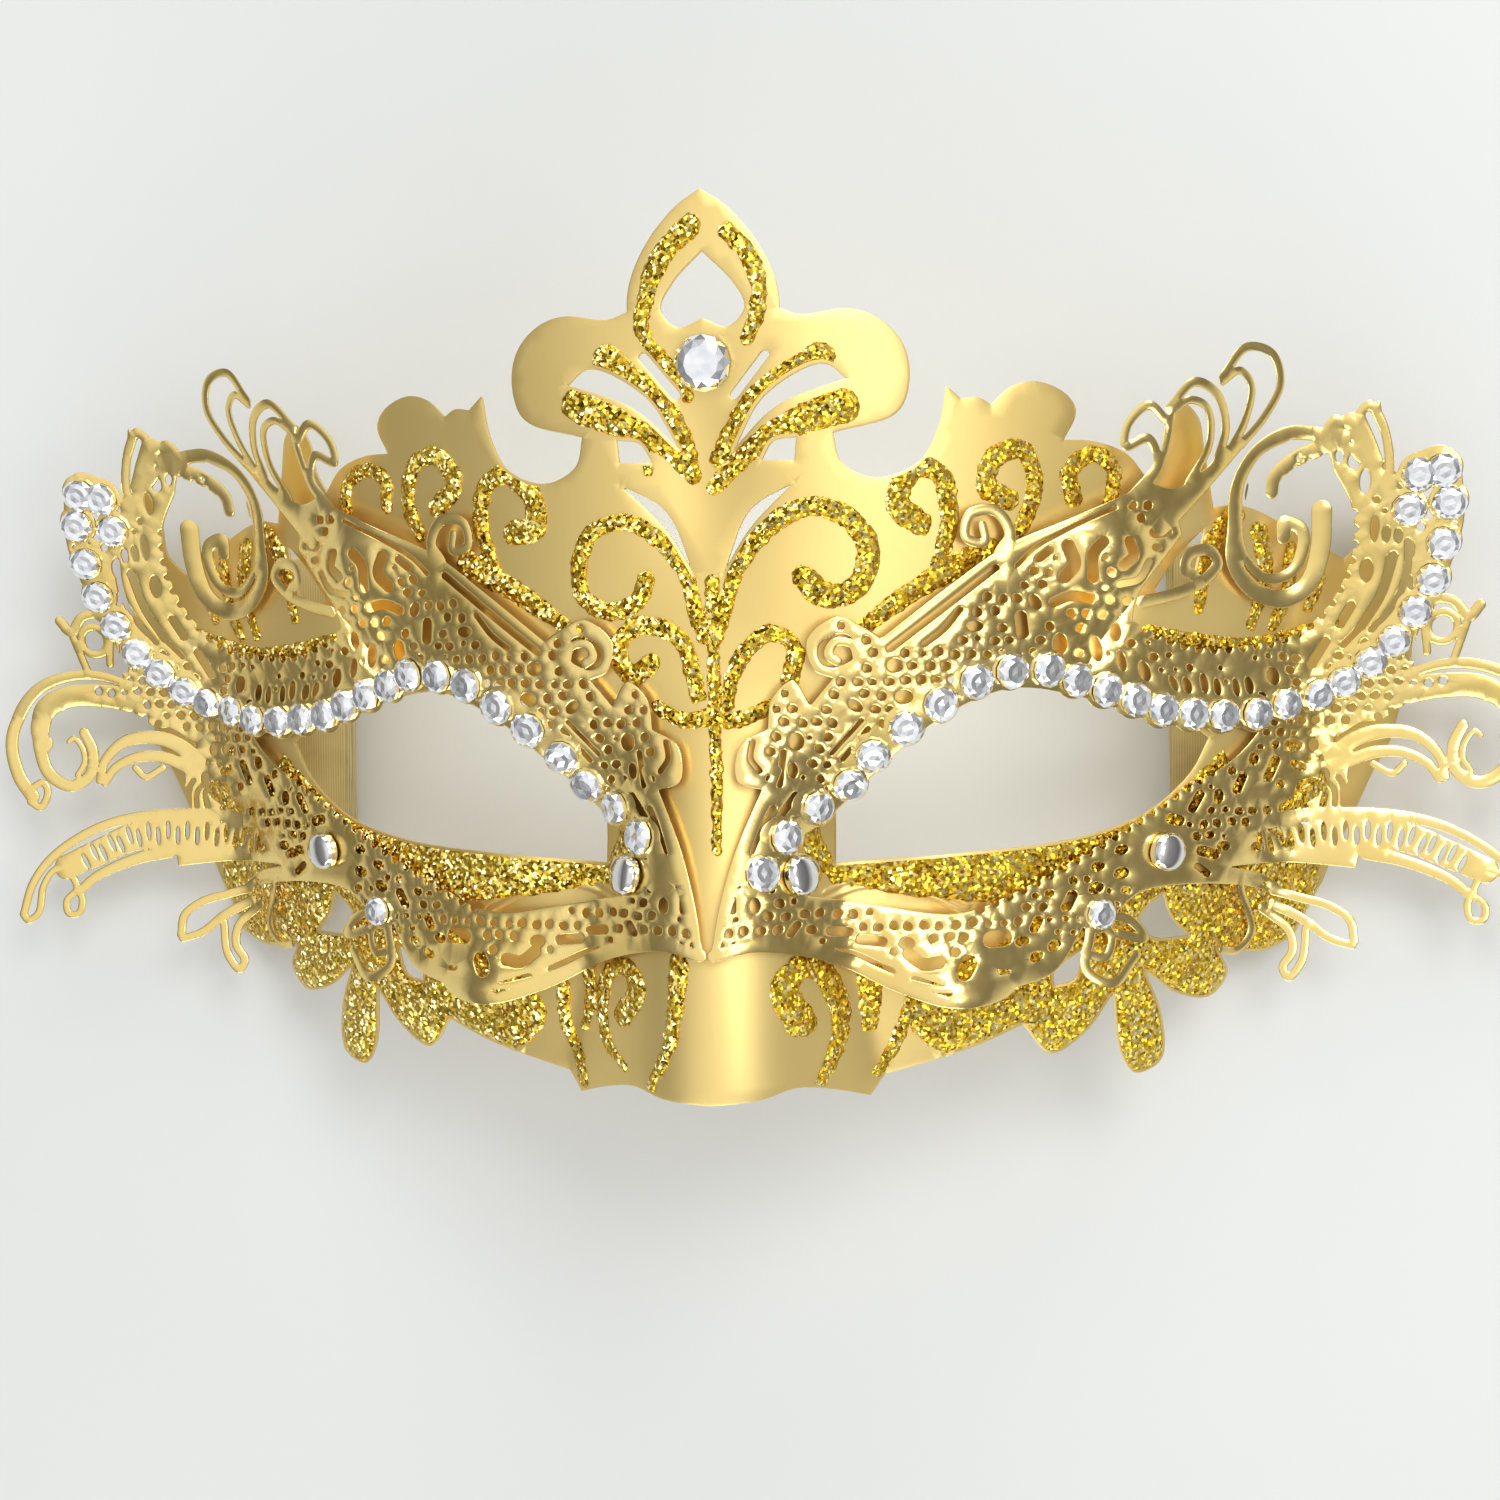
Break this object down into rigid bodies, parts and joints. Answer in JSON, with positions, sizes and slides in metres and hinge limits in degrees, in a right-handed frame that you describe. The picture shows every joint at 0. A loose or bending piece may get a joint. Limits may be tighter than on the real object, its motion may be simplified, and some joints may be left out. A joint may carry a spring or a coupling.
{
  "type": "venetian masquerade mask",
  "caption": "Gold half-face masquerade mask: a pressed openwork shell with raised glitter scrolls, two riveted metal lace panels round the eyes, faceted crystals and ribbon ties.",
  "frame": {"origin": "centre of the bounding box, on the surface that the mask lies on", "axes": "+X across the face to a viewer's right, +Y up towards the forehead, +Z out of the face"},
  "size_m": [0.2122, 0.1084, 0.0525],
  "materials": {
    "gold_shell": "satin metallic gold paint on pressed plastic",
    "gold_filigree": "thin etched metal, bright gold plate",
    "gold_glitter": "dried glitter glue, gold flakes in a clear raised line",
    "crystal": "clear faceted crystal with a silver foil back",
    "rivet_chrome": "mirror chrome dome",
    "rivet_steel": "plain plated steel",
    "gold_ribbon": "satin woven ribbon, old gold",
    "hot_glue": "cloudy dried hot-melt glue"
  },
  "bodies": {
    "root": {"mask_shell": "gold_shell", "filigree_right": "gold_filigree", "filigree_left": "gold_filigree", "crown_gem": "crystal", "brow_glitter_left": "gold_glitter", "brow_glitter_right": "gold_glitter", "brow_stones_left": "crystal", "brow_stones_right": "crystal", "cheek_glitter_left": "gold_glitter", "cheek_glitter_right": "gold_glitter", "cheek_rivet_back_left": "rivet_steel", "cheek_rivet_back_right": "rivet_steel", "cheek_rivet_left": "rivet_chrome", "cheek_rivet_right": "rivet_chrome", "crown_glitter_left": "gold_glitter", "crown_glitter_right": "gold_glitter", "flower_stone_left": "crystal", "flower_stone_right": "crystal", "nose_glitter_left": "gold_glitter", "nose_glitter_right": "gold_glitter", "nose_rivet_back_left": "rivet_steel", "nose_rivet_back_right": "rivet_steel", "nose_rivet_left": "rivet_chrome", "nose_rivet_right": "rivet_chrome", "nose_stones_left": "crystal", "nose_stones_right": "crystal", "ribbon_glue_left": "hot_glue", "ribbon_glue_right": "hot_glue", "ribbon_left": "gold_ribbon", "ribbon_right": "gold_ribbon", "temple_glitter_left": "gold_glitter", "temple_glitter_right": "gold_glitter", "temple_stones_left": "crystal", "temple_stones_right": "crystal", "tip_stones_left": "crystal", "tip_stones_right": "crystal"}
  },
  "joints": []
}
